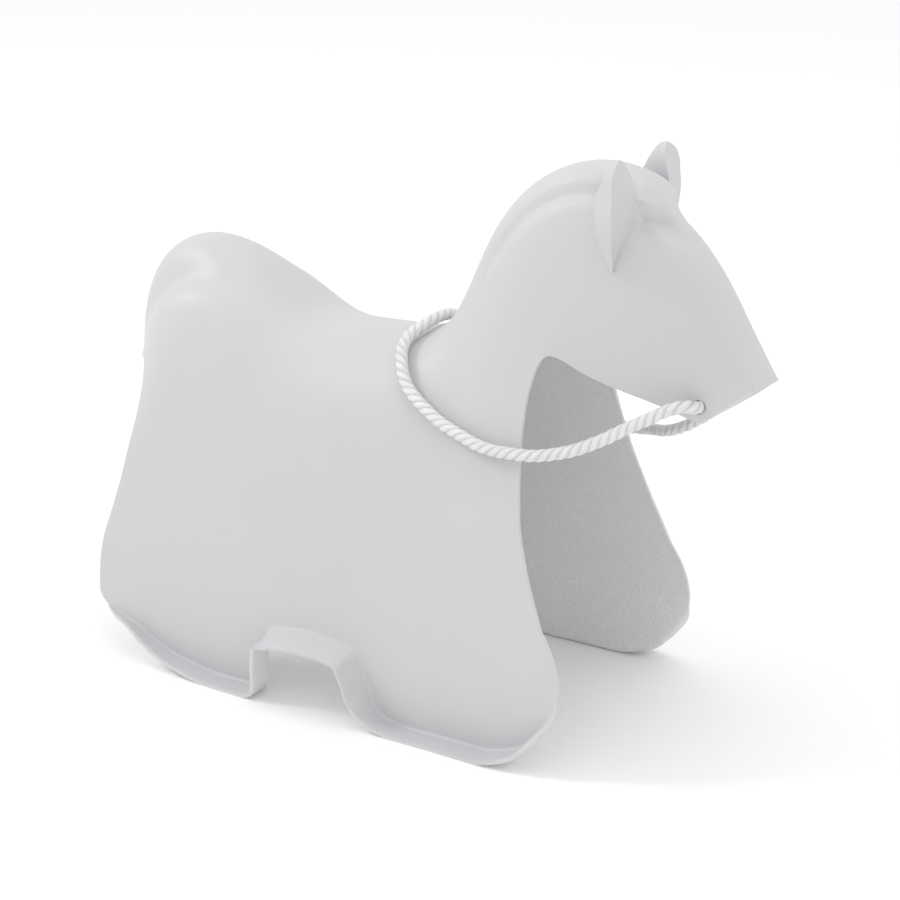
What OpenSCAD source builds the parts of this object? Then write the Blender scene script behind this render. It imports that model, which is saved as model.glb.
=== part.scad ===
// Child's rocking horse: one-piece moulded shell with a rope rein.
// Units: mm. +X is the way the horse faces, +Y its left, +Z up, Z = 0 the floor.

/* [Shell] */
// wall thickness of the moulding
wall = 4; // [3:0.5:5]
// how far the foot lip stands out from the wall
lip_w = 26; // [10:1:32]
// radius where the lip turns out of the wall
lip_r = 4; // [3:1:8]

/* [Rein] */
// rope diameter
rope_d = 12; // [11:0.5:13]
// diameter of the two holes in the muzzle
hole_d = 14; // [14:0.5:16]
// outside diameter of the stopper knots
knot_d = 30; // [26:1:32]

/* [Ears] */
// gap between an ear and the head it sits on
ear_gap = 1.4; // [0.5:0.1:2]
// diameter of the peg that plugs each ear in
peg_d = 10; // [8:0.5:12]

/* [Hidden] */
$fn = 48;
floor_z = wall;
shift_x = 6;
hole_x = 302; hole_z = 343;

// Rounding net for the right-hand half of the skin. Each row runs from the spine
// down to the cut edge; the rows go from the tail end to the muzzle.
NET = [
[[-345,0,280],[-343,-25,282],[-332,-50,290],[-304,-76,312],[-286,-98,285],[-292,-116,228],[-304,-129,165],[-325,-135,112],[-322,-137,64]],
[[-347,0,342],[-344,-26,342],[-328,-52,334],[-292,-76,348],[-272,-100,300],[-280,-116,235],[-290,-128,170],[-306,-134,108],[-298,-137,45]],
[[-325,0,406],[-321,-28,398],[-302,-50,370],[-272,-70,378],[-252,-94,330],[-262,-113,250],[-270,-127,178],[-276,-134,105],[-258,-136,22]],
[[-263,0,430],[-261,-28,421],[-251,-50,390],[-235,-68,383],[-225,-92,335],[-230,-112,255],[-235,-126,180],[-235,-134,100],[-205,-134,5]],
[[-196,0,404],[-195,-28,398],[-192,-50,384],[-188,-70,369],[-184,-92,330],[-186,-112,255],[-186,-126,180],[-184,-134,100],[-150,-134,3]],
[[-135,0,351],[-135,-28,348],[-135,-50,345],[-135,-70,334],[-135,-91,311],[-135,-111,250],[-135,-126,180],[-134,-133.5,110],[-112,-134,20]],
[[-78,0,357],[-78,-28,354],[-78,-50,343],[-78,-70,327],[-78,-91,302],[-78,-112,248],[-78,-126,180],[-76,-133,120],[-60,-136,74]],
[[-25,0,359],[-25,-28,355],[-25,-50,343],[-22,-69,330],[-18,-90,303],[-14,-112,248],[-10,-126,180],[-6,-133,120],[0,-136,60]],
[[20,0,365],[21,-26,361],[24,-47,352],[28,-66,337],[36,-90,302],[48,-113,245],[60,-127,177],[74,-134,100],[100,-134,0]],
[[42,0,408],[45,-23,400],[51,-43,381],[60,-63,350],[72,-88,300],[90,-115,234],[115,-129,162],[148,-136,88],[185,-135,17]],
[[60,0,455],[63,-21,447],[70,-38,426],[78,-54,392],[86,-75,345],[100,-100,285],[124,-118.7,218],[165,-132,140],[217,-137,72]],
[[85,0,499],[87,-19,492],[91,-35,472],[94,-47,440],[96,-58.5,395],[101,-78,338],[116,-105,270],[150,-123.3,195],[198,-132,132]],
[[124,0,534],[125,-18,528],[125,-34,511],[121,-45,482],[115,-53.5,442],[110,-61.5,392],[111,-79.5,335],[127,-106,268],[164,-121,206]],
[[172,0,551],[171,-18,546],[168,-34,531],[160,-44.5,507],[147,-51,470],[133,-57,430],[123,-65,385],[126,-80.5,333],[150,-99,283]],
[[215,0,549],[214,-17,545],[209,-33,532],[200,-44,511],[184,-50,480],[165,-54.5,447],[148,-59.5,414],[140,-66.5,381],[146,-74.5,350]],
[[245,0,530],[243,-17,526],[239,-31,517],[231,-41,500],[217,-48,475],[199,-53,450],[182,-57,426],[167,-61,405],[160,-66,388]],
[[263,0,502],[261,-16,499],[257,-29,490],[250,-37,480],[242,-44,462],[231,-49,441],[218,-54,417],[204,-57,391],[190,-60,367]],
[[298,0,467],[296,-16,464],[292,-28,455],[285,-34,446],[277,-39,433],[266,-44,415],[254,-48,396],[241,-51,374],[228,-53,354]],
[[324,0,422],[322,-15,420],[319,-26,413],[314,-31,407],[308,-35,398],[299,-38,386],[289,-40,373],[278,-42,357],[268,-43,343]],
[[341,0,391],[340,-14,389],[337.5,-23,385.5],[334,-27,381],[328.5,-30,374],[321,-33,364.5],[312.5,-35,354.5],[304,-36,343],[295,-37,332]],
[[357,0,365],[356.3,-13,364],[354,-21,362],[350.5,-25,359.5],[345.5,-28,356],[339,-31,351.5],[329,-33,344.5],[318,-35,337],[308,-36,330]]
];
// Cut edge of the skirt from the tail corner to the chest: [row, x, z].
EDGE = [
[0,-326,64],[.25,-322.5,56],[.5,-316,50],[1,-301,41],[1.5,-280,33],[2,-258,20.5],[2.5,-233,10],[3,-205,3.6],[3.5,-178,-.2],[3.75,-165,-.5],[4,-150,-.5],
[4.2,-138,-.5],[4.3,-130,-.3],[4.42,-120,3.5],[4.5,-117,10],[4.62,-116,22],[4.8,-114.5,45],[4.95,-112,60],[5.05,-106,67],[5.2,-98,71],
[5.5,-85,73.5],[6,-60,75],[6.4,-38,74],[6.6,-22,72],[6.75,-12,69.5],[6.9,-4,64],[7.05,1,54],[7.2,6,42],[7.35,10.5,27],
[7.5,16,13],[7.6,22,6],[7.7,33,1.8],[7.8,50,-.5],[8,84,-.5],[8.35,118,-.5],[8.6,140,-.3],[8.85,160,4.5],[9.1,179,12.5],
[9.4,194.5,28.5],[9.7,208.5,48],[10,216,69],[10.3,215,91],[10.6,208.5,111],[11,196,134]
];
// Half width of the side wall at each height: [z, half width].
WALL = [[-10,133],[0,134],[50,137],[91,136],[127,133.5],[162,129],[197,123],[232,116],[250,111.3],[267,106],[301,93.5],[335,79],[376,66]];
// Lip width along the cut edge, as a share of lip_w: [row, share].
LIP = [[0,0],[.5,.1],[1,.25],[1.8,.55],[2.6,.78],[3.3,.93],[4,1],[6,1],[8,1],[8.85,1],[9.1,.9],[9.4,.7],[9.7,.4],[10,.15],[10.5,0]];
// Where the skin is divided: along the horse and down each side.
ROWS = [0,.3,.6,.9,1.2,1.5,1.8,2.1,2.4,2.7,3,3.3,3.6,3.9,4.3,4.38,4.46,4.55,4.67,4.8,4.93,5.03,5.15,5.3,5.6,6,6.35,6.6,
  6.75,6.9,7.05,7.2,7.35,7.5,7.6,7.72,7.9,8.2,8.5,8.75,9,9.35,9.7,10.1,10.5,10.9,11.3,11.7,12.1,12.5,12.9,13.3,13.7,
  14.1,14.5,14.9,15.3,15.7,16.1,16.6,17.1,17.6,18.1,18.6,19.1,19.55,20];
DOWN = [0,.4,.8,1.2,1.5,1.8,2.1,2.4,2.7,3.1,3.6,4.2,5,6,7];
// depth of the dips beside the rump and the mane, and height of the forelock
hip_dip = 14; mane_dip = 5.5; lock_up = 5;

// --- smooth skin ---------------------------------------------------------
function ramp(a,b,x) = let(t=min(1,max(0,(x-a)/(b-a)))) t*t*(3-2*t);
function bell(x,c,w) = exp(-pow((x-c)/w,2));
function unit(v) = v/norm(v);
function flip(p) = [p.x,-p.y,p.z];
function w4(f) = [pow(1-f,3)/6,(3*f*f*f-6*f*f+4)/6,(-3*f*f*f+3*f*f+3*f+1)/6,f*f*f/6];
function past(P,k) = k<0 ? 2*P[0]-P[1] : k>=len(P) ? 2*P[len(P)-1]-P[len(P)-2] : P[k];
function spline(P,u) = let(i=min(floor(u),len(P)-2),w=w4(u-i))
  w[0]*past(P,i-1)+w[1]*P[i]+w[2]*P[i+1]+w[3]*past(P,i+2);
function across(P,u) = let(i=min(floor(u),len(P)-2),w=w4(u-i))
  w[0]*(i==0?flip(P[1]):P[i-1])+w[1]*P[i]+w[2]*P[i+1]+w[3]*past(P,i+2);
function seg(T,x,i=0) = (i>=len(T)-2 || x<T[i+1][0]) ? i : seg(T,x,i+1);
function slope(T,k,c) = k==0 ? (T[1][c]-T[0][c])/(T[1][0]-T[0][0])
  : k==len(T)-1 ? (T[k][c]-T[k-1][c])/(T[k][0]-T[k-1][0])
  : let(a=T[k][0]-T[k-1][0],b=T[k+1][0]-T[k][0]) ((T[k][c]-T[k-1][c])/a*b+(T[k+1][c]-T[k][c])/b*a)/(a+b);
function look(T,c,x) = let(i=seg(T,x),h=T[i+1][0]-T[i][0],f=(x-T[i][0])/h)
  (2*f*f*f-3*f*f+1)*T[i][c]+(f*f*f-2*f*f+f)*h*slope(T,i,c)+(3*f*f-2*f*f*f)*T[i+1][c]+(f*f*f-f*f)*h*slope(T,i+1,c);
COLS = [for(j=[0:8]) [for(r=NET) r[j]]];
function rib(s) = [for(j=[0:8]) let(q=spline(COLS[j],s)) (j==8 && s<11) ? [look(EDGE,1,s),q.y,look(EDGE,2,s)] : q];
function dip(s,t) = hip_dip*ramp(-.5,.6,s)*(1-ramp(2.6,4.2,s))*bell(t,2.05,.62)
  + mane_dip*ramp(9.6,11.2,s)*(1-ramp(13.6,14.3,s))*bell(t,2.15,.36)
  - lock_up*ramp(13.8,14.6,s)*(1-ramp(15.1,15.9,s))*(1-ramp(1.2,2.3,t));
function skin(C,s,t) = let(p=across(C,t),k=(1-ramp(11,14,s))*(1-ramp(200,250,p.z)),
  y=p.y*(1-k)-look(WALL,1,min(375,max(-9,p.z)))*k,v=dip(s,t)) [p.x,y+(t>0?.6*v:0),p.z-.8*v];
function at(s,t) = skin(rib(s),s,t);
function out(s,t) = let(a=at(min(s+.02,20),t)-at(max(s-.02,0),t),b=at(s,min(t+.02,8))-at(s,max(t-.02,.0001)),n=unit(cross(a,b)))
  (n.y<0 || (abs(n.y)<.3 && n.z>0)) ? n : -n;
function off(s,t,g) = at(s,t)+g*out(s,t);

// --- one row of the shell, from the spine down the right side to the lip ---
function edge_dir(s) = let(a=max(s-.02,0),b=min(s+.02,20),d=at(b,8)-at(a,8),l=norm([d.x,d.z])) [d.z/l,0,-d.x/l];
function half_row(s) = let(C=rib(s),P=skin(C,s,8),Q=skin(C,s,7.6),l=norm(P-Q)/.4,A=skin(C,s,8-min(.4,lip_r/l)),
  k=ramp(0,1,s)*(1-ramp(9.3,10.3,s)),lw=s<10.5?look(LIP,1,s)*lip_w:0,
  o=[0,-1,0]+.43*ramp(4.85,5.1,s)*(1-ramp(7.3,7.65,s))*edge_dir(s),
  e=unit(P-Q)*3*(1-k)+o*max(lw,1)*k,r=min(lip_r,norm(e)*.6),D=P+unit(e)*r)
  concat([for(t=DOWN) skin(C,s,t)],[A,A*.25+P*.5+D*.25,D,P+e]);
HALF = [for(s=ROWS) half_row(s)];
J = len(DOWN)+3;
SKIN = [for(r=HALF) concat([for(j=[J:-1:1]) flip(r[j])],r)];
NR = len(SKIN); NC = 2*J+1;
function way(i,j) = let(a=SKIN[min(i+1,NR-1)][j]-SKIN[max(i-1,0)][j],b=SKIN[i][min(j+1,NC-1)]-SKIN[i][max(j-1,0)]) unit(cross(b,a));
function inner(i,j) = let(q=SKIN[i][j]-wall*way(i,j)) [q.x,j==J?0:q.y,max(q.z,-floor_z)];
LINING = [for(i=[0:NR-1]) [for(j=[0:NC-1]) inner(i,j)]];

module shell_solid() {
  pts = concat([for(r=SKIN) for(p=r) p],[for(r=LINING) for(p=r) p]);
  o = NR*NC;
  polyhedron(points=pts,faces=concat(
    [for(i=[0:NR-2]) for(j=[0:NC-2]) let(a=i*NC+j,b=a+NC,c=b+1,d=a+1) each [[a,b,c],[a,c,d],[o+a,o+c,o+b],[o+a,o+d,o+c]]],
    [for(i=[0:NR-2]) let(a=i*NC,b=a+NC) each [[a,o+a,o+b],[a,o+b,b]]],
    [for(i=[0:NR-2]) let(a=i*NC+NC-1,b=a+NC) each [[a,o+b,o+a],[a,b,o+b]]],
    [for(a=[0:NC-2]) each [[a,a+1,o+a+1],[a,o+a+1,o+a]]],
    [for(j=[0:NC-2]) let(a=(NR-1)*NC+j) each [[a,o+a+1,a+1],[a,o+a,o+a+1]]]),convexity=10);
}

// --- ears ------------------------------------------------------------------
// base line on the head: front edge and rear edge as [row, down] pairs
EAR_F = [[15.36,4.48],[15.22,3.98],[15.08,3.2],[14.9,2.3]];
EAR_R = [[15.3,4.5],[14.86,4.15],[14.2,3.55],[13.6,2.3]];
ear_low = [220,-52.5,458]; ear_out = [223,-65,543]; ear_swell = [3.5,-8,0];
// free part above the head: [outer ridge, inner edge, rear edge]
EAR_TOP = [
  [[225.3,-67,530],[230.5,-33,530],[198,-38,535]],
  [[224.3,-66.2,543],[227,-33,543],[203,-41,545]],
  [[223.3,-61.3,552],[224,-36,552],[207,-43,551]],
  [[222,-53,558],[222.5,-41,558],[211,-45,556]],
  [[221.5,-48,560.5],[222,-44,560.5],[215,-46,559.5]]];
peg_at = [215,-42,510]; peg_way = unit([-.1,.9,-.42]);
function mix(a,b,f) = a*(1-f)+b*f;
function along(P,f) = let(u=f*(len(P)-1),i=min(floor(u),len(P)-2)) mix(P[i],P[i+1],u-i);
function ear_ring(f) = let(a=along(EAR_F,f),b=along(EAR_R,f)) concat([mix(ear_low,ear_out,f*.67)+ramp(0,.8,f)*ear_swell],
  [for(k=[0:4]) let(q=mix(a,b,k/4)) off(q[0],q[1],ear_gap)]);
EAR_RINGS = concat([for(f=[.04,.15,.3,.45,.6,.75,.88,1]) ear_ring(f)],
  [for(r=EAR_TOP) concat([r[0]],[for(k=[0:4]) mix(r[1],r[2],k/4)])]);
module ear_body() {
  m = len(EAR_RINGS); n = 6;
  polyhedron(points=[for(r=EAR_RINGS) for(p=r) p],faces=concat([for(k=[1:n-2]) [0,k,k+1]],[for(k=[1:n-2]) [(m-1)*n,(m-1)*n+k+1,(m-1)*n+k]],
    [for(i=[0:m-2]) for(k=[0:n-1]) let(a=i*n+k,b=i*n+(k+1)%n,c=b+n,d=a+n) each [[a,c,b],[a,d,c]]]),convexity=6);
}
module aim(p,d) { translate(p) rotate([0,acos(d.z),atan2(d.y,d.x)]) children(); }
module peg(d,a,b) { aim(peg_at,peg_way) translate([0,0,a]) cylinder(h=b-a,d=d); }
module ear() { union() { ear_body(); peg(peg_d,-6,11); } }

// --- rein --------------------------------------------------------------------
// middle of the rope, from the right muzzle hole round the neck to the left one
ROUTE = [
  [302,-24,343],[302,-34,343.5],[302,-43.5,344.5],[299,-52.5,347.5],[291.5,-59.5,347],[279.5,-64,341.5],[265,-67,333],[248,-71,323],
  [230,-78,312],[208,-88,301],[188,-94.5,294.5],[168,-101.5,291],[149,-105,290.5],[130,-105.5,290],[112,-104.5,291.5],[95,-102,295.5],
  [78,-98.5,299.5],[62,-95,304.5],[48,-91.5,311],[34,-87.5,318],[21,-82,326],[11,-75,336],[3,-65,345.5],[-3,-54,354],
  [-5,-40,361],[-1,-27,367],[4,-14,372],[6,0,373.5],[6,14,372],[3,28,367.5],[0,42,361],[1,56,353],[6,69.5,341],[15,81.5,327.5],
  [27,91,312.5],[41,98,297],[57,104,284],[75,109.5,272.5],[94,113.5,263.5],[114,116.5,257],[134,118.5,252.5],[151,119,251],
  [167,116,253],[181,104,259],[197,86,266.5],[217,70.5,273.5],[236,62,282],[253,60.5,292.5],[268,61.5,304],[281,62,317],
  [291.5,60,330],[299,53.5,339],[302,44,343.5],[302,34,343.5],[302,24,343]];
function cr(a,b,c,d,u) = .5*(2*b+(c-a)*u+(2*a-5*b+4*c-d)*u*u+(3*b-a-3*c+d)*u*u*u);
n_r = len(ROUTE);
PATH = concat([for(i=[0:n_r-2]) each (i>5 && i<n_r-9 ? [ROUTE[i]] :
  [ROUTE[i],cr(ROUTE[max(i-1,0)],ROUTE[i],ROUTE[i+1],ROUTE[min(i+2,n_r-1)],.5)])],[ROUTE[n_r-1]]);
function tang(i) = unit(PATH[min(i+1,len(PATH)-1)]-PATH[max(i-1,0)]);
function carry(i,v) = i>=len(PATH) ? [] : let(t=tang(i),w=unit(v-(v*t)*t)) concat([w],carry(i+1,w));
UPS = carry(0,[0,0,1]);
module rope_solid() {
  m = len(PATH); n = 10;
  polyhedron(points=[for(i=[0:m-1]) let(t=(i==0||i==m-1)?[0,-1,0]:tang(i),u=unit(UPS[i]-(UPS[i]*t)*t),v=cross(t,u)) for(k=[0:n-1])
      PATH[i]+rope_d/2*(cos(360*k/n)*u+sin(360*k/n)*v)],
    faces=concat([[for(k=[0:n-1]) k]],[[for(k=[n-1:-1:0]) (m-1)*n+k]],
    [for(i=[0:m-2]) for(k=[0:n-1]) let(a=i*n+k,b=i*n+(k+1)%n,c=b+n,d=a+n) each [[a,c,b],[a,d,c]]]),convexity=10);
}
// stopper knot behind the right hole: a turned lump with the rope's tail
tail_way = [-.7071,0,.7071];
module knot() {
  translate([hole_x,-24,hole_z]) union() {
    rotate([-90,0,0]) rotate_extrude() polygon([[0,0],[rope_d*.7,0],[knot_d*.36,1.5],[knot_d*.46,5],[knot_d/2,10],[knot_d*.46,15],[knot_d*.34,19],[rope_d*.4,21.5],[0,22]]);
    translate([0,12,0]) aim([0,0,0],tail_way) cylinder(h=36,d=rope_d-.6);
  }
}
module whipping() {
  translate([hole_x,-12,hole_z]) aim([0,0,0],tail_way) translate([0,0,22]) difference() {
    cylinder(h=15,d=rope_d+.8); translate([0,0,-1]) cylinder(h=15,d=rope_d-.6); }
}
module seat() { translate([-shift_x,0,floor_z]) children(); }

module body_shell() { color("#dcdddf") seat() difference() { shell_solid();
  translate([hole_x,-60,hole_z]) rotate([-90,0,0]) cylinder(h=120,d=hole_d);
  peg(peg_d+.4,-20,25); mirror([0,1,0]) peg(peg_d+.4,-20,25); } }
module right_ear() { color("#dcdddf") seat() ear(); }
module left_ear() { color("#dcdddf") seat() mirror([0,1,0]) ear(); }
module rein_rope() { color("#f2f2f0") seat() rope_solid(); }
module right_knot() { color("#f2f2f0") seat() knot(); }
module left_knot() { color("#f2f2f0") seat() mirror([0,1,0]) knot(); }
module right_whipping() { color("#e4e4e4") seat() whipping(); }
module left_whipping() { color("#e4e4e4") seat() mirror([0,1,0]) whipping(); }

body_shell();
left_ear();
right_ear();
rein_rope();
left_knot();
right_knot();
left_whipping();
right_whipping();
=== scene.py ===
import math

import bmesh
import bpy
import numpy as np
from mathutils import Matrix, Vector


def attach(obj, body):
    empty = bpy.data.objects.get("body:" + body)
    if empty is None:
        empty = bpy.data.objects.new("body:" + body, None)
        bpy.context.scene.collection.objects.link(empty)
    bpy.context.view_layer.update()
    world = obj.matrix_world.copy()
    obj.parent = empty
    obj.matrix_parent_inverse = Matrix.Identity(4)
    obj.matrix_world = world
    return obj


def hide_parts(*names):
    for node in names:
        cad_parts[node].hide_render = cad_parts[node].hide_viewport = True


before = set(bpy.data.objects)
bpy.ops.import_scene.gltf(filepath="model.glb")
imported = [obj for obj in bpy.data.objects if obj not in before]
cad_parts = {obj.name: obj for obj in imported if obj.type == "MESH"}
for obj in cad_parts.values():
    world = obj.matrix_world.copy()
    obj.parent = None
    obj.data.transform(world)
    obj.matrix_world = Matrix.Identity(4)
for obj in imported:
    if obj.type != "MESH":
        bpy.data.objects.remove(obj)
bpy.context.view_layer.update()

scene = bpy.context.scene
MM = 0.001
SEAT = np.array([-6.0, 0.0, 4.0])  # from the drawing's own zero to the row frame, in mm

# ---------------------------------------------------------------- camera, first
cam_data = bpy.data.cameras.new("view")
cam_data.sensor_width = 36.0
cam_data.lens = 93.136
cam_data.clip_start, cam_data.clip_end = 0.05, 60.0
cam = bpy.data.objects.new("view", cam_data)
scene.collection.objects.link(cam)
cam.location = (1.1540, -1.83426, 1.01630)
cam.rotation_euler = (math.radians(70.2715), 0.0, math.radians(31.9387))
scene.camera = cam


# ---------------------------------------------------------------- small tools
def unit(v):
    return v / np.maximum(np.linalg.norm(v, axis=-1, keepdims=True), 1e-12)


def ramp(a, b, x):
    t = np.clip((np.asarray(x, float) - a) / (b - a), 0, 1)
    return t * t * (3 - 2 * t)


def bell(x, c, w):
    return np.exp(-(((np.asarray(x, float) - c) / w) ** 2))


def add_object(name, points, faces, body, materials, face_mats=None, uv=None, shades=None, smooth=True):
    """A mesh object from points in mm in the row frame. uv is one (u, v) per point, shades one painted-shade weight per
    point.
    """
    me = bpy.data.meshes.new(name)
    me.from_pydata((np.asarray(points) * MM).tolist(), [], [tuple(int(i) for i in f) for f in faces])
    for m in materials:
        me.materials.append(m)
    if face_mats is not None:
        me.polygons.foreach_set("material_index", np.asarray(face_mats, np.int32))
    if smooth:
        me.polygons.foreach_set("use_smooth", np.ones(len(me.polygons), bool))
    if uv is not None:
        layer = me.uv_layers.new(name="lay")
        idx = np.zeros(len(me.loops), np.int32)
        me.loops.foreach_get("vertex_index", idx)
        layer.data.foreach_set("uv", np.asarray(uv, np.float32)[idx].ravel())
    if shades is not None:
        att = me.attributes.new("groove", "FLOAT", "POINT")
        att.data.foreach_set("value", np.asarray(shades, np.float32))
    me.update()
    obj = bpy.data.objects.new(name, me)
    scene.collection.objects.link(obj)
    if body:
        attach(obj, body)
    return obj


def rewrite(obj, work):
    """Run work(bm) on an object's mesh."""
    bm = bmesh.new()
    bm.from_mesh(obj.data)
    work(bm)
    bm.to_mesh(obj.data)
    bm.free()
    obj.data.update()


def bake_modifiers(obj):
    dg = bpy.context.evaluated_depsgraph_get()
    dg.update()
    new = bpy.data.meshes.new_from_object(obj.evaluated_get(dg), preserve_all_data_layers=True, depsgraph=dg)
    obj.modifiers.clear()
    obj.data = new


# ---------------------------------------------------------------- the horse's skin
# Rounding net of the right-hand half: each row runs from the spine down to the cut edge.
NET = np.array([
[[-345,0,280],[-343,-25,282],[-332,-50,290],[-304,-76,312],[-286,-98,285],[-292,-116,228],[-304,-129,165],[-325,-135,112],[-322,-137,64]],
[[-347,0,342],[-344,-26,342],[-328,-52,334],[-292,-76,348],[-272,-100,300],[-280,-116,235],[-290,-128,170],[-306,-134,108],[-298,-137,45]],
[[-325,0,406],[-321,-28,398],[-302,-50,370],[-272,-70,378],[-252,-94,330],[-262,-113,250],[-270,-127,178],[-276,-134,105],[-258,-136,22]],
[[-263,0,430],[-261,-28,421],[-251,-50,390],[-235,-68,383],[-225,-92,335],[-230,-112,255],[-235,-126,180],[-235,-134,100],[-205,-134,5]],
[[-196,0,404],[-195,-28,398],[-192,-50,384],[-188,-70,369],[-184,-92,330],[-186,-112,255],[-186,-126,180],[-184,-134,100],[-150,-134,3]],
[[-135,0,351],[-135,-28,348],[-135,-50,345],[-135,-70,334],[-135,-91,311],[-135,-111,250],[-135,-126,180],[-134,-133.5,110],[-112,-134,20]],
[[-78,0,357],[-78,-28,354],[-78,-50,343],[-78,-70,327],[-78,-91,302],[-78,-112,248],[-78,-126,180],[-76,-133,120],[-60,-136,74]],
[[-25,0,359],[-25,-28,355],[-25,-50,343],[-22,-69,330],[-18,-90,303],[-14,-112,248],[-10,-126,180],[-6,-133,120],[0,-136,60]],
[[20,0,365],[21,-26,361],[24,-47,352],[28,-66,337],[36,-90,302],[48,-113,245],[60,-127,177],[74,-134,100],[100,-134,0]],
[[42,0,408],[45,-23,400],[51,-43,381],[60,-63,350],[72,-88,300],[90,-115,234],[115,-129,162],[148,-136,88],[185,-135,17]],
[[60,0,455],[63,-21,447],[70,-38,426],[78,-54,392],[86,-75,345],[100,-100,285],[124,-118.7,218],[165,-132,140],[217,-137,72]],
[[85,0,499],[87,-19,492],[91,-35,472],[94,-47,440],[96,-58.5,395],[101,-78,338],[116,-105,270],[150,-123.3,195],[198,-132,132]],
[[124,0,534],[125,-18,528],[125,-34,511],[121,-45,482],[115,-53.5,442],[110,-61.5,392],[111,-79.5,335],[127,-106,268],[164,-121,206]],
[[172,0,551],[171,-18,546],[168,-34,531],[160,-44.5,507],[147,-51,470],[133,-57,430],[123,-65,385],[126,-80.5,333],[150,-99,283]],
[[215,0,549],[214,-17,545],[209,-33,532],[200,-44,511],[184,-50,480],[165,-54.5,447],[148,-59.5,414],[140,-66.5,381],[146,-74.5,350]],
[[245,0,530],[243,-17,526],[239,-31,517],[231,-41,500],[217,-48,475],[199,-53,450],[182,-57,426],[167,-61,405],[160,-66,388]],
[[263,0,502],[261,-16,499],[257,-29,490],[250,-37,480],[242,-44,462],[231,-49,441],[218,-54,417],[204,-57,391],[190,-60,367]],
[[298,0,467],[296,-16,464],[292,-28,455],[285,-34,446],[277,-39,433],[266,-44,415],[254,-48,396],[241,-51,374],[228,-53,354]],
[[324,0,422],[322,-15,420],[319,-26,413],[314,-31,407],[308,-35,398],[299,-38,386],[289,-40,373],[278,-42,357],[268,-43,343]],
[[341,0,391],[340,-14,389],[337.5,-23,385.5],[334,-27,381],[328.5,-30,374],[321,-33,364.5],[312.5,-35,354.5],[304,-36,343],[295,-37,332]],
[[357,0,365],[356.3,-13,364],[354,-21,362],[350.5,-25,359.5],[345.5,-28,356],[339,-31,351.5],[329,-33,344.5],[318,-35,337],[308,-36,330]],
], float)
# Cut edge of the skirt, from the tail corner to the chest: row, x, z.
EDGE = np.array([
[0,-326,64],[.25,-322.5,56],[.5,-316,50],[1,-301,41],[1.5,-280,33],[2,-258,20.5],[2.5,-233,10],[3,-205,3.6],[3.5,-178,-.2],[3.75,-165,-.5],[4,-150,-.5],
[4.2,-138,-.5],[4.3,-130,-.3],[4.42,-120,3.5],[4.5,-117,10],[4.62,-116,22],[4.8,-114.5,45],[4.95,-112,60],[5.05,-106,67],[5.2,-98,71],
[5.5,-85,73.5],[6,-60,75],[6.4,-38,74],[6.6,-22,72],[6.75,-12,69.5],[6.9,-4,64],[7.05,1,54],[7.2,6,42],[7.35,10.5,27],
[7.5,16,13],[7.6,22,6],[7.7,33,1.8],[7.8,50,-.5],[8,84,-.5],[8.35,118,-.5],[8.6,140,-.3],[8.85,160,4.5],[9.1,179,12.5],
[9.4,194.5,28.5],[9.7,208.5,48],[10,216,69],[10.3,215,91],[10.6,208.5,111],[11,196,134]], float)
WALL = np.array([[-10,133],[0,134],[50,137],[91,136],[127,133.5],[162,129],[197,123],[232,116],[250,111.3],[267,106],[301,93.5],[335,79],[376,66]], float)
LIP = np.array([[0,0],[.5,.1],[1,.25],[1.8,.55],[2.6,.78],[3.3,.93],[4,1],[6,1],[8,1],[8.85,1],[9.1,.9],[9.4,.7],[9.7,.4],[10,.15],[10.5,0]], float)
WALL_MM, LIP_W, LIP_R = 4.0, 26.0, 4.0
HOLE = np.array([302.0, 0.0, 343.0])
NROW, NCOL = NET.shape[0], NET.shape[1]


def look(table, col, x):
    """A smooth curve through a table's points, as in the drawing."""
    X, Y = table[:, 0], table[:, col]
    x = np.asarray(x, float)
    i = np.clip(np.searchsorted(X, x, side="right") - 1, 0, len(X) - 2)
    h = X[i + 1] - X[i]
    f = (x - X[i]) / h
    d = np.diff(Y) / np.diff(X)
    m = np.empty_like(Y)
    m[0], m[-1] = d[0], d[-1]
    a, b = np.diff(X)[:-1], np.diff(X)[1:]
    m[1:-1] = (d[:-1] * b + d[1:] * a) / (a + b)
    return ((2 * f**3 - 3 * f * f + 1) * Y[i] + (f**3 - 2 * f * f + f) * h * m[i]
            + (3 * f * f - 2 * f**3) * Y[i + 1] + (f**3 - f * f) * h * m[i + 1])


def w4(f):
    return [(1 - f) ** 3 / 6, (3 * f**3 - 6 * f * f + 4) / 6, (-3 * f**3 + 3 * f * f + 3 * f + 1) / 6, f**3 / 6]


def ribs(S):
    S = np.atleast_1d(np.asarray(S, float))
    i = np.minimum(np.floor(S).astype(int), NROW - 2)
    out = 0
    for q, w in enumerate(w4(S - i)):
        k = i - 1 + q
        low, high = k < 0, k >= NROW
        p = NET[np.clip(k, 0, NROW - 1)].copy()
        p[low] = 2 * NET[0] - NET[1]
        p[high] = 2 * NET[-1] - NET[-2]
        out = out + w[:, None, None] * p
    on = S < 11
    out[on, 8, 0] = look(EDGE, 1, S[on])
    out[on, 8, 2] = look(EDGE, 2, S[on])
    return out


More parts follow.
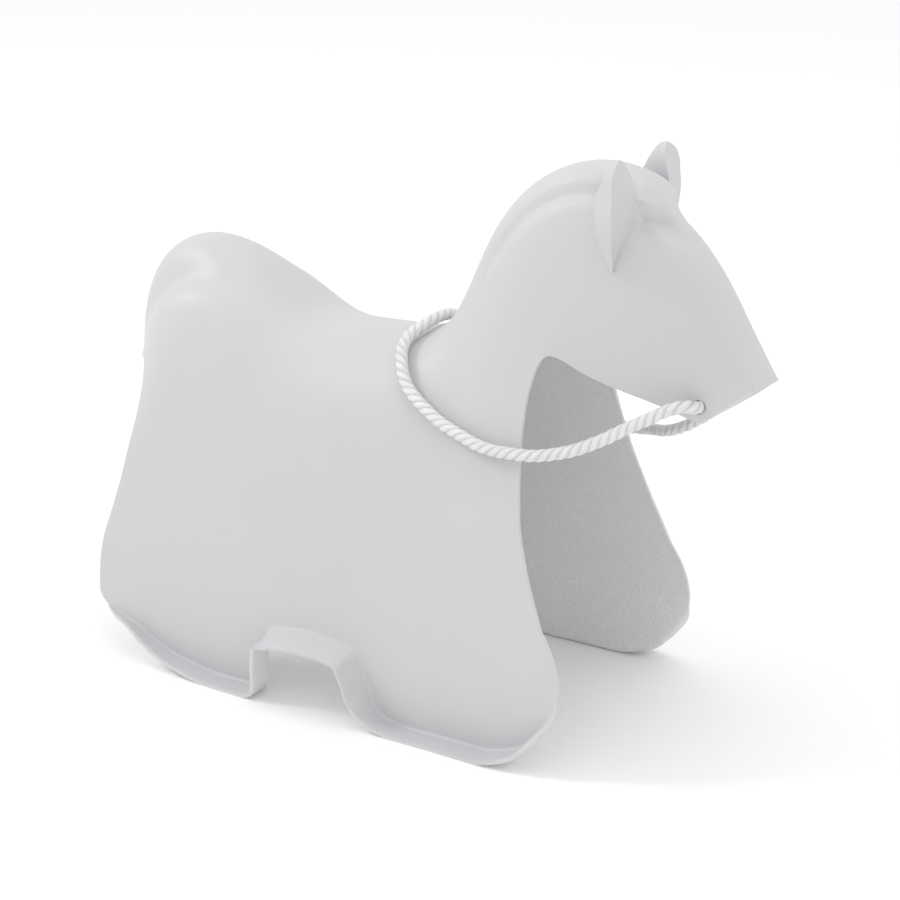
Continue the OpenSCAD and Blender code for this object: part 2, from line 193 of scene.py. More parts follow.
def detail(S, T):
    """Sinks (+) and lifts (-) of the skin in mm: the dips beside rump and mane, and the forelock."""
    hip = 9.5 * ramp(-0.5, 0.6, S) * (1 - ramp(1.5, 4.0, S)) * bell(T, 2.05, 0.66)
    mane = 5.5 * ramp(9.6, 11.2, S) * (1 - ramp(13.6, 14.3, S)) * bell(T, 2.15, 0.36)
    brow = np.maximum(15.84 - 0.20 * T * T, 15.02)
    fade = np.maximum(0.62 - 0.22 * T, 0.25)
    lock = -(1.0 + 3.3 * T) * ramp(13.8, 14.9, S) * (1 - ramp(brow - fade, brow, S)) * (1 - ramp(2.1, 2.7, T))
    sink = 11.0 * ramp(0.2, 1.5, T) * (1 - ramp(2.3, 3.4, T)) * ramp(brow - fade, brow, S) * (1 - ramp(brow, brow + 1.0, S))
    lock = lock + sink + 3.0 * bell(S, 15.25, 0.35) * (1 - ramp(1.0, 1.9, T))
    return hip + mane + lock


def surf(R, S, T):
    """Points of the skin. R is ribs(S), S has one number per row, T is rows by columns."""
    i = np.minimum(np.floor(T).astype(int), NCOL - 2)
    rows = np.arange(len(S))[:, None]
    p = 0
    for q, w in enumerate(w4(T - i)):
        k = i - 1 + q
        c = R[rows, np.clip(k, 0, NCOL - 1)].copy()
        low, high = k < 0, k >= NCOL
        if low.any():
            m = np.broadcast_to(R[:, 1:2] * [1, -1, 1], c.shape)
            c[low] = m[low]
        if high.any():
            m = np.broadcast_to(2 * R[:, -1:] - R[:, -2:-1], c.shape)
            c[high] = m[high]
        p = p + w[..., None] * c
    SS = np.broadcast_to(S[:, None], T.shape)
    k = (1 - ramp(11, 14, SS)) * (1 - ramp(200, 250, p[..., 2]))
    y = p[..., 1] * (1 - k) - look(WALL, 1, np.clip(p[..., 2], -9, 375)) * k
    v = detail(SS, T)
    return np.stack([p[..., 0], y + 0.6 * v * (T > 0), p[..., 2] - 0.8 * v], -1)


def at(S, T):
    S, T = np.atleast_1d(np.asarray(S, float)), np.atleast_1d(np.asarray(T, float))
    return surf(ribs(S), S, T[:, None])[:, 0]


def out_of(S, T):
    S, T = np.atleast_1d(np.asarray(S, float)), np.atleast_1d(np.asarray(T, float))
    a = at(np.minimum(S + 0.02, 20), T) - at(np.maximum(S - 0.02, 0), T)
    b = at(S, np.minimum(T + 0.02, 8)) - at(S, np.maximum(T - 0.02, 0.0001))
    n = unit(np.cross(a, b))
    flip = ~((n[:, 1] < 0) | ((np.abs(n[:, 1]) < 0.3) & (n[:, 2] > 0)))
    n[flip] *= -1
    return n


def edge_dir(S):
    a, b = np.maximum(S - 0.02, 0), np.minimum(S + 0.02, 20)
    d = at(b, np.full_like(b, 8.0)) - at(a, np.full_like(a, 8.0))
    l = np.hypot(d[:, 0], d[:, 2])
    return np.stack([d[:, 2] / l, 0 * l, -d[:, 0] / l], -1)


def skin_half(S, tau, fillet=6, lip_cols=4):
    R = ribs(S)
    P = surf(R, S, np.full((len(S), 1), 8.0))[:, 0]
    Q = surf(R, S, np.full((len(S), 1), 7.6))[:, 0]
    l = np.linalg.norm(P - Q, axis=1) / 0.4
    d = np.minimum(0.4, LIP_R / l)
    T = tau[None, :] * (8 - d)[:, None]
    body = surf(R, S, T)
    A = body[:, -1]
    sheet = unit(P - Q)
    k = (ramp(0, 1, S) * (1 - ramp(9.3, 10.3, S)))[:, None]
    lw = np.where(S < 10.5, look(LIP, 1, np.minimum(S, 10.5)) * LIP_W, 0)[:, None]
    o = np.array([0, -1, 0]) + (0.43 * ramp(4.85, 5.1, S) * (1 - ramp(7.3, 7.65, S)))[:, None] * edge_dir(S)
    e = sheet * 3 * (1 - k) + o * np.maximum(lw, 1.0) * k
    le = np.linalg.norm(e, axis=1, keepdims=True)
    r = np.minimum(LIP_R, le * 0.6)
    D = P + e / le * r
    cols = [body]
    for i in range(1, fillet + 1):
        u = i / (fillet + 1)
        cols.append((A * (1 - u) ** 2 + P * 2 * u * (1 - u) + D * u * u)[:, None])
    O = P + e
    for i in range(lip_cols + 1):
        u = i / lip_cols
        cols.append((D * (1 - u) + O * u)[:, None])
    return np.concatenate(cols, 1)


def spaced_rows(edge_mm=4.6, step=0.105):
    s = np.linspace(0, 20, 4001)
    P = np.stack([at(s, np.full_like(s, t)) for t in (0.0, 4.0, 8.0)], 0)
    d = np.linalg.norm(np.diff(P, axis=1), axis=2)
    rate = np.maximum.reduce([d[2] / edge_mm, d[0] / 7.0, d[1] / 7.0, np.full(4000, 0.005 / step),
                             np.where((s[:-1] > 14.6) & (s[:-1] < 16.2), 0.005 / 0.036, 0)])
    c = np.concatenate([[0], np.cumsum(rate)])
    n = int(math.ceil(c[-1]))
    return np.interp(np.linspace(0, c[-1], n + 1), c, s)


S_ROWS = spaced_rows()
TAU = np.unique(np.concatenate([np.arange(0, 4.0, 0.1), np.arange(4.0, 7.2, 0.18), np.linspace(7.2, 8, 5)])) / 8.0
HALF = skin_half(S_ROWS, TAU)
SKIN = np.concatenate([HALF[:, :0:-1] * [1, -1, 1], HALF], 1)
NR, NC = SKIN.shape[:2]
mid = NC // 2
ds = np.concatenate([SKIN[1:2] - SKIN[:1], SKIN[2:] - SKIN[:-2], SKIN[-1:] - SKIN[-2:-1]], 0)
dt = np.concatenate([SKIN[:, 1:2] - SKIN[:, :1], SKIN[:, 2:] - SKIN[:, :-2], SKIN[:, -1:] - SKIN[:, -2:-1]], 1)
WAY = unit(np.cross(dt, ds))
LINING = SKIN - WALL_MM * WAY
LINING[:, mid, 1] = 0
LINING[..., 2] = np.maximum(LINING[..., 2], -4.0)
points = np.concatenate([SKIN.reshape(-1, 3), LINING.reshape(-1, 3)], 0) + SEAT
o = NR * NC
ii, jj = np.meshgrid(np.arange(NR - 1), np.arange(NC - 1), indexing="ij")
a = (ii * NC + jj).ravel()
b, c, d = a + NC, a + NC + 1, a + 1
faces = [np.stack([a, d, c, b], 1), np.stack([o + a, o + b, o + c, o + d], 1)]
a = np.arange(NR - 1) * NC
faces.append(np.stack([a, a + NC, o + a + NC, o + a], 1))
a = a + NC - 1
faces.append(np.stack([a, o + a, o + a + NC, a + NC], 1))
a = np.arange(NC - 1)
faces.append(np.stack([a, o + a, o + a + 1, a + 1], 1))
a = (NR - 1) * NC + np.arange(NC - 1)
faces.append(np.stack([a, a + 1, o + a + 1, o + a], 1))
n_skin = len(faces[0])
face_mats = np.concatenate([np.zeros(n_skin), np.ones(n_skin), np.zeros(sum(len(f) for f in faces[2:]))])
faces = np.concatenate(faces, 0)


# ---------------------------------------------------------------- materials
def new_material(name):
    m = bpy.data.materials.new(name)
    m.use_nodes = True
    nt = m.node_tree
    return m, nt, nt.nodes["Principled BSDF"]


def node(nt, kind, **values):
    n = nt.nodes.new(kind)
    for k, v in values.items():
        if k.startswith("_"):
            setattr(n, k[1:], v)
        else:
            n.inputs[k.replace("_", " ")].default_value = v
    return n


def plastic(name, colour, rough, grain, grain_scale, peel, speck, rough_spread=0.06, tint=0.02, edge=0.0):
    """Moulded plastic: faint mottling, orange peel and grain in the bump, a little spread in the gloss; edge sets a
    painted highlight on sharp rims.
    """
    m, nt, bsdf = new_material(name)
    L = nt.links.new
    co = node(nt, "ShaderNodeTexCoord")
    big = node(nt, "ShaderNodeTexNoise", Scale=5.0, Detail=3.0, Roughness=0.5)
    fine = node(nt, "ShaderNodeTexNoise", Scale=grain_scale, Detail=2.0, Roughness=0.6)
    wave = node(nt, "ShaderNodeTexNoise", Scale=140.0, Detail=2.0, Roughness=0.45)
    for t in (big, fine, wave):
        L(co.outputs["Object"], t.inputs["Vector"])
    base = node(nt, "ShaderNodeMapRange", From_Min=0.3, From_Max=0.7, To_Min=1.0 - tint, To_Max=1.0 + tint)
    L(big.outputs["Fac"], base.inputs["Value"])
    dots = node(nt, "ShaderNodeMapRange", From_Min=0.25, From_Max=0.75, To_Min=1.0 - speck, To_Max=1.0 + speck)
    L(fine.outputs["Fac"], dots.inputs["Value"])
    mul = node(nt, "ShaderNodeMath", _operation="MULTIPLY")
    L(base.outputs["Result"], mul.inputs[0])
    L(dots.outputs["Result"], mul.inputs[1])
    last = mul.outputs["Value"]
    if edge:
        # painted highlight: the cut rims are made a shade lighter where pointiness is high, standing in for the glint
        # of light on sharp edges
        geo = node(nt, "ShaderNodeNewGeometry")
        rim_highlight = node(nt, "ShaderNodeMapRange", From_Min=0.53, From_Max=0.60, To_Min=0.0, To_Max=edge)
        L(geo.outputs["Pointiness"], rim_highlight.inputs["Value"])
        add = node(nt, "ShaderNodeMath", _operation="ADD")
        L(last, add.inputs[0])
        L(rim_highlight.outputs["Result"], add.inputs[1])
        last = add.outputs["Value"]
    col = node(nt, "ShaderNodeVectorMath", _operation="SCALE")
    col.inputs[0].default_value = colour
    L(last, col.inputs["Scale"])
    L(col.outputs["Vector"], bsdf.inputs["Base Color"])
    gloss = node(nt, "ShaderNodeMapRange", From_Min=0.3, From_Max=0.7, To_Min=rough - rough_spread, To_Max=rough + rough_spread)
    L(big.outputs["Fac"], gloss.inputs["Value"])
    L(gloss.outputs["Result"], bsdf.inputs["Roughness"])
    b1 = node(nt, "ShaderNodeBump", Strength=peel, Distance=0.0004)
    b2 = node(nt, "ShaderNodeBump", Strength=grain, Distance=0.0002)
    L(wave.outputs["Fac"], b1.inputs["Height"])
    L(fine.outputs["Fac"], b2.inputs["Height"])
    L(b1.outputs["Normal"], b2.inputs["Normal"])
    L(b2.outputs["Normal"], bsdf.inputs["Normal"])
    bsdf.inputs["IOR"].default_value = 1.49
    bsdf.inputs["Specular IOR Level"].default_value = 0.42
    return m


# edge=0.08 on the shell plastic sets the strength of the painted rim highlight
SHELL = plastic("moulded_plastic", (0.575, 0.580, 0.592), 0.46, 0.25, 1500.0, 0.12, 0.012, edge=0.08)
# the lining is a lighter copy of the shell plastic: its higher colour is painted light standing in for fill that barely
# reaches inside; its rougher grain and speckle are the plastic's own
INSIDE_LIGHTENED = plastic("moulded_plastic_inside", (0.70, 0.70, 0.702), 0.72, 0.9, 900.0, 0.3, 0.16, tint=0.03)


def rope_material(name, colour, dark):
    m, nt, bsdf = new_material(name)
    L = nt.links.new
    uvn = node(nt, "ShaderNodeUVMap", _uv_map="lay")
    sep = node(nt, "ShaderNodeMapping")
    sep.inputs["Scale"].default_value = (3.4, 0.34, 1.0)
    L(uvn.outputs["UV"], sep.inputs["Vector"])
    yarn = node(nt, "ShaderNodeTexNoise", Scale=1.0, Detail=4.0, Roughness=0.6)
    L(sep.outputs["Vector"], yarn.inputs["Vector"])
    fib = node(nt, "ShaderNodeMapping")
    fib.inputs["Scale"].default_value = (14.0, 1.1, 1.0)
    L(uvn.outputs["UV"], fib.inputs["Vector"])
    hair = node(nt, "ShaderNodeTexNoise", Scale=1.0, Detail=3.0, Roughness=0.65)
    L(fib.outputs["Vector"], hair.inputs["Vector"])
    # painted shade: the per-point groove weight darkens the colour towards dark in the hollows between strands and
    # turns, where shade falls
    att = node(nt, "ShaderNodeAttribute", _attribute_name="groove")
    shade = node(nt, "ShaderNodeMapRange", From_Min=0.0, From_Max=1.0, To_Min=1.0, To_Max=dark)
    L(att.outputs["Fac"], shade.inputs["Value"])
    var = node(nt, "ShaderNodeMapRange", From_Min=0.3, From_Max=0.7, To_Min=0.93, To_Max=1.05)
    L(yarn.outputs["Fac"], var.inputs["Value"])
    mul = node(nt, "ShaderNodeMath", _operation="MULTIPLY")
    L(shade.outputs["Result"], mul.inputs[0])
    L(var.outputs["Result"], mul.inputs[1])
    col = node(nt, "ShaderNodeVectorMath", _operation="SCALE")
    col.inputs[0].default_value = colour
    L(mul.outputs["Value"], col.inputs["Scale"])
    L(col.outputs["Vector"], bsdf.inputs["Base Color"])
    r = node(nt, "ShaderNodeMapRange", From_Min=0.3, From_Max=0.7, To_Min=0.78, To_Max=0.92)
    L(hair.outputs["Fac"], r.inputs["Value"])
    L(r.outputs["Result"], bsdf.inputs["Roughness"])
    b1 = node(nt, "ShaderNodeBump", Strength=0.8, Distance=0.0008)
    b2 = node(nt, "ShaderNodeBump", Strength=0.7, Distance=0.0003)
    L(yarn.outputs["Fac"], b1.inputs["Height"])
    L(hair.outputs["Fac"], b2.inputs["Height"])
    L(b1.outputs["Normal"], b2.inputs["Normal"])
    L(b2.outputs["Normal"], bsdf.inputs["Normal"])
    bsdf.inputs["Sheen Weight"].default_value = 0.25
    bsdf.inputs["Sheen Roughness"].default_value = 0.5
    return m


ROPE = rope_material("laid_rope", (0.90, 0.90, 0.892), 0.55)
TWINE = rope_material("whipping_twine", (0.80, 0.80, 0.785), 0.6)

# ---------------------------------------------------------------- shell object
shell = add_object("moulded_shell", points, faces, None, [SHELL, INSIDE_LIGHTENED], face_mats)


def round_rims(bm):
    bmesh.ops.remove_doubles(bm, verts=bm.verts, dist=2e-6)
    bmesh.ops.recalc_face_normals(bm, faces=bm.faces)
    sharp = [e for e in bm.edges if len(e.link_faces) == 2 and e.calc_face_angle(0) > math.radians(55)]
    bmesh.ops.bevel(bm, geom=sharp, offset=0.0012, segments=3, profile=0.5, affect="EDGES", clamp_overlap=True, material=0)


rewrite(shell, round_rims)


def cutter(name, p, way, radius, low, high, sides=64):
    way = unit(np.asarray(way, float))
    side = unit(np.cross(way, [0.3, 0.1, 1.0]))
    up = np.cross(way, side)
    ang = np.arange(sides) * 2 * math.pi / sides
    ring = np.cos(ang)[:, None] * side + np.sin(ang)[:, None] * up
    p = np.asarray(p, float) + SEAT
    pts = np.concatenate([p + low * way + radius * ring, p + high * way + radius * ring])
    n = sides
    fs = [tuple(range(n))[::-1], tuple(range(n, 2 * n))] + [(k, (k + 1) % n, n + (k + 1) % n, n + k) for k in range(n)]
    me = bpy.data.meshes.new(name)
    me.from_pydata((pts * MM).tolist(), [], fs)
    me.update()
    ob = bpy.data.objects.new(name, me)
    scene.collection.objects.link(ob)
    bm = bmesh.new()
    bm.from_mesh(me)
    bmesh.ops.recalc_face_normals(bm, faces=bm.faces)
    bm.to_mesh(me)
    bm.free()
    return ob


PEG_AT, PEG_WAY = np.array([215.0, -42.0, 510.0]), unit(np.array([-0.1, 0.9, -0.42]))
FLIP = np.array([1.0, -1.0, 1.0])
cutters = [cutter("cut_rein", HOLE, (0, 1, 0), 7.0, -60, 60),
           cutter("cut_peg_r", PEG_AT, PEG_WAY, 5.2, -14, 22, 40),
           cutter("cut_peg_l", PEG_AT * FLIP, PEG_WAY * FLIP, 5.2, -14, 22, 40)]
for ct in cutters:
    mod = shell.modifiers.new("cut", "BOOLEAN")
    mod.operation, mod.solver, mod.object = "DIFFERENCE", "EXACT", ct
bake_modifiers(shell)
for ct in cutters:
    bpy.data.objects.remove(ct)
shell.data.polygons.foreach_set("use_smooth", np.ones(len(shell.data.polygons), bool))
shell.data.set_sharp_from_angle(angle=math.radians(38))
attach(shell, "shell")
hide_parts("body_shell")

# ---------------------------------------------------------------- ears
EAR_F = np.array([[15.36, 4.48], [15.22, 3.98], [15.08, 3.2], [14.9, 2.3]])
EAR_R = np.array([[15.3, 4.5], [14.86, 4.15], [14.2, 3.55], [13.6, 2.3]])
EAR_LOW, EAR_OUT, EAR_SWELL = np.array([220, -52.5, 458.0]), np.array([223, -65, 543.0]), np.array([3.5, -8.0, 0.0])
EAR_TOP = np.array([
[[225.3,-67,530],[230.5,-33,530],[199.5,-41,535]],
[[224.3,-66.2,543],[227,-33,543],[204,-43.5,545]],
[[223.3,-61.3,552],[224,-36,552],[207.5,-45,551]],
[[222,-53,558],[222.5,-41,558],[211,-46,556]],
[[221.5,-48,560.5],[222,-44,560.5],[215,-46,559.5]]], float)


def along(P, f):
    u = f * (len(P) - 1)
    i = min(int(u), len(P) - 2)
    return P[i] * (1 - (u - i)) + P[i + 1] * (u - i)


def resample(P, n):
    """n points along a smooth curve through P."""
    P = np.asarray(P, float)
    k = np.concatenate([[0], np.cumsum(np.linalg.norm(np.diff(P, axis=0), axis=1) ** 0.5)])
    u = np.linspace(0, k[-1], n)
    out = []
    Q = np.vstack([2 * P[0] - P[1], P, 2 * P[-1] - P[-2]])
    kk = np.concatenate([[2 * k[0] - k[1]], k, [2 * k[-1] - k[-2]]])
    for x in u:
        i = int(np.clip(np.searchsorted(k, x, side="right") - 1, 0, len(P) - 2)) + 1
        t0, t1, t2, t3 = kk[i - 1:i + 3]
        p0, p1, p2, p3 = Q[i - 1:i + 3]
        a1 = (t1 - x) / (t1 - t0) * p0 + (x - t0) / (t1 - t0) * p1
        a2 = (t2 - x) / (t2 - t1) * p1 + (x - t1) / (t2 - t1) * p2
        a3 = (t3 - x) / (t3 - t2) * p2 + (x - t2) / (t3 - t2) * p3
        b1 = (t2 - x) / (t2 - t0) * a1 + (x - t0) / (t2 - t0) * a2
        b2 = (t3 - x) / (t3 - t1) * a2 + (x - t1) / (t3 - t1) * a3
        out.append((t2 - x) / (t2 - t1) * b1 + (x - t1) / (t2 - t1) * b2)
    return np.array(out)


def ear_loops():
    base_f = (0.02, 0.15, 0.3, 0.45, 0.6, 0.75, 0.88, 1.0)
    R, F, B, I = [], [], [], []
    for f in base_f:
        a_, b_ = along(EAR_F, f), along(EAR_R, f)
        R.append(EAR_LOW * (1 - f * 0.67) + EAR_OUT * f * 0.67 + EAR_SWELL * ramp(0, 0.8, f))
        pts = []
        for k in np.linspace(0, 1, 7):
            q = a_ * (1 - k) + b_ * k
            pts.append((at(q[0], q[1]) - 0.15 * out_of(q[0], q[1]))[0])
        I.append(pts)
    for r in EAR_TOP:
        R.append(r[0])
        I.append([r[1] * (1 - k) + r[2] * k for k in np.linspace(0, 1, 7)])
    R, I = np.array(R), np.array(I)
    n = 46
    Rr = resample(R, n)
    Ir = np.stack([resample(I[:, k], n) for k in range(7)], 1)
    loops = []
    for r, inn in zip(Rr, Ir):
        F, B = inn[0], inn[-1]
        front = [r * (1 - u) + F * u for u in np.linspace(0, 1, 9)]
        rear = [B * (1 - u) + r * u for u in np.linspace(0, 1, 11)]
        nrm = unit(np.cross(F - B, np.array([0.1, -0.3, 1.0])))
        swell = np.sin(np.linspace(0, 1, 11) * math.pi) * 0.035 * np.linalg.norm(B - r)
        outw = unit(np.cross(np.array([0.0, 0.1, 1.0]), B - r))
        if outw @ (r - inn.mean(0)) < 0:
            outw = -outw
        rear = [p + outw * s for p, s in zip(rear, swell)]
        loops.append(front[:-1] + list(inn[:-1]) + rear[:-1])
    return np.array(loops)


def ear_mesh(mirror):
    L = ear_loops()
    m, n = L.shape[:2]
    pts = L.reshape(-1, 3)
    fs = []
    for i in range(m - 1):
        for k in range(n):
            a, b = i * n + k, i * n + (k + 1) % n
            fs.append((a, b, b + n, a + n))
    c0, c1 = L[0].mean(0), L[-1].mean(0) + [0, 0, 0.6]
    pts = np.vstack([pts, c0, c1])
    for k in range(n):
        fs.append((len(pts) - 2, (k + 1) % n, k))
        fs.append((len(pts) - 1, (m - 1) * n + k, (m - 1) * n + (k + 1) % n))
    if mirror:
        pts = pts * FLIP
    return pts + SEAT, fs


def tidy(bm):
    bmesh.ops.remove_doubles(bm, verts=bm.verts, dist=2e-5)
    bmesh.ops.dissolve_degenerate(bm, edges=bm.edges, dist=1e-6)
    bmesh.ops.recalc_face_normals(bm, faces=bm.faces)


def ear_finish(bm):
    tidy(bm)
    sharp = [e for e in bm.edges if len(e.link_faces) == 2 and e.calc_face_angle(0) > math.radians(32)]
    bmesh.ops.bevel(bm, geom=sharp, offset=0.0009, segments=3, profile=0.5, affect="EDGES", clamp_overlap=True)
    tidy(bm)


def peg_points(mirror, radius=5.0, low=-6.0, high=11.0, sides=40):
    side = unit(np.cross(PEG_WAY, [0.3, 0.1, 1.0]))
    up = np.cross(PEG_WAY, side)
    ang = np.arange(sides) * 2 * math.pi / sides
    ring = np.cos(ang)[:, None] * side + np.sin(ang)[:, None] * up
    rows = [(low, radius), (high - 1.0, radius), (high - 0.3, radius - 0.3), (high, radius - 1.0)]
    pts = np.concatenate([PEG_AT + h * PEG_WAY + r * ring for h, r in rows])
    fs = []
    for q in range(len(rows) - 1):
        for k in range(sides):
            a = q * sides + k
            b = q * sides + (k + 1) % sides
            fs.append((a, b, b + sides, a + sides))
    fs.append(tuple(range(sides))[::-1])
    fs.append(tuple(range((len(rows) - 1) * sides, len(rows) * sides)))
    if mirror:
        pts = pts * FLIP
    return pts + SEAT, fs


for name, flip in (("right_ear", False), ("left_ear", True)):
    pts, fs = ear_mesh(flip)
    ear = add_object(name + "_moulding", pts, fs, None, [SHELL])
    rewrite(ear, ear_finish)
    ear.data.set_sharp_from_angle(angle=math.radians(30))
    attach(ear, "shell")
    pp, pf = peg_points(flip)
    peg = add_object(name + "_peg", pp, pf, None, [SHELL])
    rewrite(peg, tidy)
    peg.data.set_sharp_from_angle(angle=math.radians(35))
    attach(peg, "shell")
    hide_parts(name)

# ---------------------------------------------------------------- rope
ROUTE = np.array([
  [302,-24,343],[302,-34,343.5],[302,-43.5,344.5],[299,-52.5,347.5],[291.5,-59.5,347],[279.5,-64,341.5],[265,-67,333],[248,-71,323],
  [230,-78,312],[208,-88,301],[188,-94.5,294.5],[168,-101.5,291],[149,-105,290.5],[130,-105.5,290],[112,-104.5,291.5],[95,-102,295.5],
  [78,-98.5,299.5],[62,-95,304.5],[48,-91.5,311],[34,-87.5,318],[21,-82,326],[11,-75,336],[3,-65,345.5],[-3,-54,354],
  [-5,-40,361],[-1,-27,367],[4,-14,372],[6,0,373.5],[6,14,372],[3,28,367.5],[0,42,361],[1,56,353],[6,69.5,341],[15,81.5,327.5],
  [27,91,312.5],[41,98,297],[57,104,284],[75,109.5,272.5],[94,113.5,263.5],[114,116.5,257],[134,118.5,252.5],[151,119,251],
  [167,116,253],[181,104,259],[197,86,266.5],[217,70.5,273.5],[236,62,282],[253,60.5,292.5],[268,61.5,304],[281,62,317],
  [291.5,60,330],[299,53.5,339],[302,44,343.5],[302,34,343.5],[302,24,343]], float)
ROPE_D = 12.0


def smooth_path(P, step):
    """Catmull-Rom through P, spaced evenly."""
    P = np.asarray(P, float)
    out = []
    n = len(P)
    for i in range(n - 1):
        a, b, c, d = P[max(i - 1, 0)], P[i], P[i + 1], P[min(i + 2, n - 1)]
        for u in np.arange(24) / 24:
            out.append(0.5 * (2 * b + (c - a) * u + (2 * a - 5 * b + 4 * c - d) * u * u + (3 * b - a - 3 * c + d) * u**3))
    out.append(P[-1])
    out = np.array(out)
    k = np.concatenate([[0], np.cumsum(np.linalg.norm(np.diff(out, axis=0), axis=1))])
    m = max(2, int(round(k[-1] / step)) + 1)
    x = np.linspace(0, k[-1], m)
    return np.stack([np.interp(x, k, out[:, q]) for q in range(3)], 1), x


def frames(P, start=(0, 0, 1)):
    """Tangents and a pair of normals that turn as little as they can."""
    t = unit(np.gradient(P, axis=0))
    u = np.zeros_like(P)
    v = np.asarray(start, float)
    for i in range(len(P)):
        v = v - (v @ t[i]) * t[i]
        v = v / np.linalg.norm(v)
        u[i] = v
    return t, u, np.cross(t, u)


def strand(P, x, radial, ra, rb, sides, yarns, twist, ridge, phase=0.0, caps=True, ends=0.0):
    """A round-ish strand along P whose outward side is radial. Returns points, faces, uv."""
    t = unit(np.gradient(P, axis=0))
    r = unit(radial - (radial * t).sum(1, keepdims=True) * t)
    b = np.cross(t, r)
    th = np.linspace(-math.pi, math.pi, sides, endpoint=False)
    pts, uv = [], []
    L = x[-1]
    for i in range(len(P)):
        ang = th + twist * x[i] + phase
        k = 1 + ridge * np.abs(np.cos(yarns * ang / 2)) ** 0.8 - ridge
        taper = 1.0
        if ends > 0:
            dist = min(x[i], L - x[i])
            if dist < ends:
                taper = math.sqrt(max(0.02, 1 - (1 - dist / ends) ** 2))
        pts.append(P[i] + (ra * k * np.cos(th) * taper)[:, None] * r[i] + (rb * k * np.sin(th) * taper)[:, None] * b[i])
        uv.append(np.stack([(th + twist * x[i]) * 3.2, np.full(sides, x[i])], 1))
    pts, uv = np.concatenate(pts), np.concatenate(uv)
    m = len(P)
    i, k = np.meshgrid(np.arange(m - 1), np.arange(sides), indexing="ij")
    a = i * sides + k
    b_ = i * sides + (k + 1) % sides
    fs = [tuple(f) for f in np.stack([a, b_, b_ + sides, a + sides], -1).reshape(-1, 4)]
    if caps:
        fs.append(tuple(range(sides))[::-1])
        fs.append(tuple(range((m - 1) * sides, m * sides)))
    return pts, fs, uv


def laid(P, x, start, diameter, pitch, sides=26, yarns=8, hand=-1, phase=0.0, ends=0.0):
    """Three strands laid round a line: points, faces, uv and groove depth, the weight of the painted shade in the lay.
    """
    t, u, v = frames(P, start)
    ra, rb = 0.245 * diameter, 0.292 * diameter
    rc = diameter / 2 - ra
    every, base = [[], [], [], []], 0
    for k in range(3):
        ang = phase + k * 2 * math.pi / 3 + hand * 2 * math.pi * x / pitch
        radial = np.cos(ang)[:, None] * u + np.sin(ang)[:, None] * v
        pts, fs, uv = strand(P + rc * radial, x, radial, ra, rb, sides, yarns, -hand * 2 * math.pi / 15.0, 0.07, phase=k, ends=ends)
        uv = uv + [k * 31.0, k * 7.0]
        line = np.repeat(P, sides, 0)
        far = np.linalg.norm(pts - line, axis=1)
        # groove depth: 0 on the strand crowns, 1 deep in the lay; it weights the painted shade
        groove = np.clip((diameter * 0.5 - far) / (diameter * 0.20), 0, 1)
        every[0].append(pts)
        every[1] += [tuple(i + base for i in f) for f in fs]
        every[2].append(uv)
        every[3].append(groove)
        base += len(pts)
    return np.concatenate(every[0]), every[1], np.concatenate(every[2]), np.concatenate(every[3])


PITCH = 29.0
line, dist = smooth_path(ROUTE + SEAT, 1.1)
pts, fs, uv, groove = laid(line, dist, (0, 0, 1), ROPE_D, PITCH)
rope = add_object("rein_laid_rope", pts, fs, None, [ROPE], uv=uv, shades=groove)
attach(rope, "rein")
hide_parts("rein_rope")

# stopper knots inside the muzzle: a three-lead turk's head worked from the rope, with its tail
TAIL_WAY = np.array([-0.7071, 0.0, 0.7071])


def knot_parts(mirror):
    centre = np.array([302.0, -13.0, 343.0])
    tau = np.linspace(0, 2 * math.pi, 300)
    phi = 3 * tau
    h = 7.7 * np.cos(4 * tau)
    r = np.sqrt(np.maximum(11.6**2 - 0.95 * h * h, 1.0)) + 1.25 * np.sin(8 * tau) - 1.25
    P = centre + np.stack([r * np.cos(phi), h, r * np.sin(phi)], 1)
    x = np.concatenate([[0], np.cumsum(np.linalg.norm(np.diff(P, axis=0), axis=1))])
    radial = unit(P - centre)
    pts, fs, uv = strand(P, x, radial, 3.0, 3.3, 24, 8, 2 * math.pi / 15.0, 0.07, caps=False)
    # painted shade weight, growing towards the knot's centre
    groove = np.clip((14.6 - np.linalg.norm(pts - centre, axis=1)) / 4.0, 0, 1)
    # the closed strand's last ring lies on its first, so they are sewn
    m = 24
    last, first = (len(P) - 1) * m, 0
    fs = [tuple((i - last) if i >= last else i for i in f) for f in fs]
    pts, uv, groove = pts[:last], uv[:last], groove[:last]
    core_line, core_x = smooth_path([[302, -24, 343], [302, -19, 343], [301.6, -14.5, 343.4], [299.5, -12.2, 345.5], [295, -12, 350], [289, -12, 356], [283, -12, 362],
                                     [276.6, -12, 368.4]], 1.1)
    cp, cf, cu, cg = laid(core_line, core_x, (0, 0, 1), 11.2, PITCH, ends=0.0)
    cf = [tuple(i + len(pts) for i in f) for f in cf]
    all_pts = np.vstack([pts, cp])
    if mirror:
        all_pts = all_pts * FLIP
    return all_pts + SEAT, fs + cf, np.vstack([uv, cu]), np.concatenate([groove, cg])


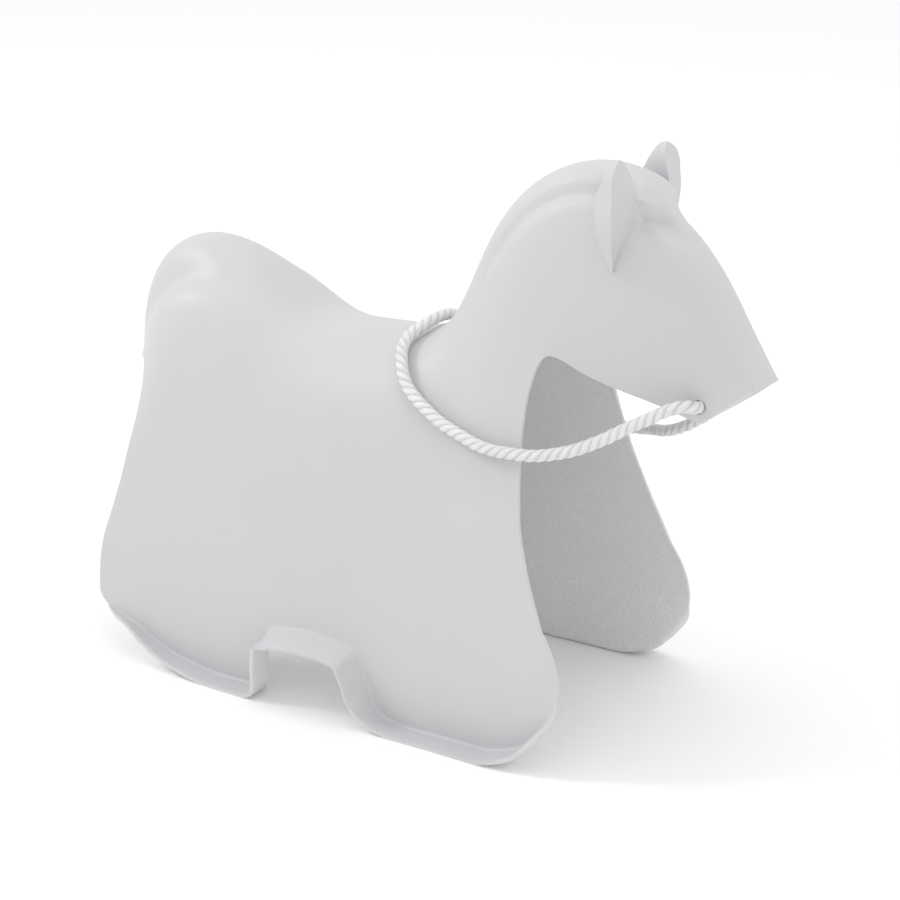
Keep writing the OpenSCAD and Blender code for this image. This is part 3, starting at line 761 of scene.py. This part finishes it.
def whipping_parts(mirror):
    start = np.array([302.0, -12.0, 343.0])
    up = np.array([0.0, 1.0, 0.0])
    side = np.cross(TAIL_WAY, up)
    turns, wire = 10, 0.72
    n = turns * 36 + 1
    a = np.linspace(0, turns * 2 * math.pi, n)
    z = 22.4 + np.linspace(0.6, 13.4, n)
    P = start + z[:, None] * TAIL_WAY + 5.65 * (np.cos(a)[:, None] * up + np.sin(a)[:, None] * side)
    x = np.concatenate([[0], np.cumsum(np.linalg.norm(np.diff(P, axis=0), axis=1))])
    radial = np.cos(a)[:, None] * up + np.sin(a)[:, None] * side
    pts, fs, uv = strand(P, x, radial, wire, wire, 12, 3, 2 * math.pi / 5.0, 0.05)
    # painted shade weight, growing between the turns towards the rope
    groove = np.clip((6.4 - np.linalg.norm(pts - start - ((pts - start) @ TAIL_WAY)[:, None] * TAIL_WAY, axis=1)) / 1.3, 0, 1)
    if mirror:
        pts = pts * FLIP
    return pts + SEAT, fs, uv, groove


on_rope = []
for side_name, flip in (("right", False), ("left", True)):
    pts, fs, uv, groove = knot_parts(flip)
    k = add_object(side_name + "_stopper_knot", pts, fs, None, [ROPE], uv=uv, shades=groove)
    rewrite(k, lambda bm: bmesh.ops.recalc_face_normals(bm, faces=bm.faces))
    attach(k, "rein")
    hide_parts(side_name + "_knot")
    pts, fs, uv, groove = whipping_parts(flip)
    w = add_object(side_name + "_twine_whipping", pts, fs, None, [TWINE], uv=uv, shades=groove)
    rewrite(w, lambda bm: bmesh.ops.recalc_face_normals(bm, faces=bm.faces))
    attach(w, "rein")
    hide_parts(side_name + "_whipping")
    on_rope += [k, w]

# ---------------------------------------------------------------- floor and light
me = bpy.data.meshes.new("floor")
me.from_pydata([(-14, -14, 0), (14, -14, 0), (14, 14, 0), (-14, 14, 0)], [], [(0, 1, 2, 3)])
floor = bpy.data.objects.new("floor", me)
scene.collection.objects.link(floor)
fm, nt, bsdf = new_material("studio_floor")
bsdf.inputs["Base Color"].default_value = (0.97, 0.97, 0.97, 1)
bsdf.inputs["Roughness"].default_value = 0.9
bsdf.inputs["Specular IOR Level"].default_value = 0.1
me.materials.append(fm)

world = bpy.data.worlds.new("studio")
world.use_nodes = True
world.node_tree.nodes["Background"].inputs["Color"].default_value = (1.0, 1.0, 1.0, 1)
world.node_tree.nodes["Background"].inputs["Strength"].default_value = 0.95
scene.world = world


def area(name, place, target, size, power, colour=(1, 1, 1)):
    l = bpy.data.lights.new(name, "AREA")
    l.shape, l.size, l.energy, l.color = "DISK", size, power, colour
    ob = bpy.data.objects.new(name, l)
    ob.location = place
    ob.rotation_euler = (Vector(target) - Vector(place)).to_track_quat("-Z", "Y").to_euler()
    scene.collection.objects.link(ob)


area("key", (-2.9, -1.2, 2.7), (0.1, 0, 0.3), 0.7, 32)
area("top", (0.2, 0.2, 3.4), (0, 0, 0.2), 3.0, 18)
area("fill", (3.0, 0.4, 1.6), (0.1, 0, 0.3), 2.4, 3)
scene.view_settings.view_transform = "Standard"
scene.view_settings.look = "None"
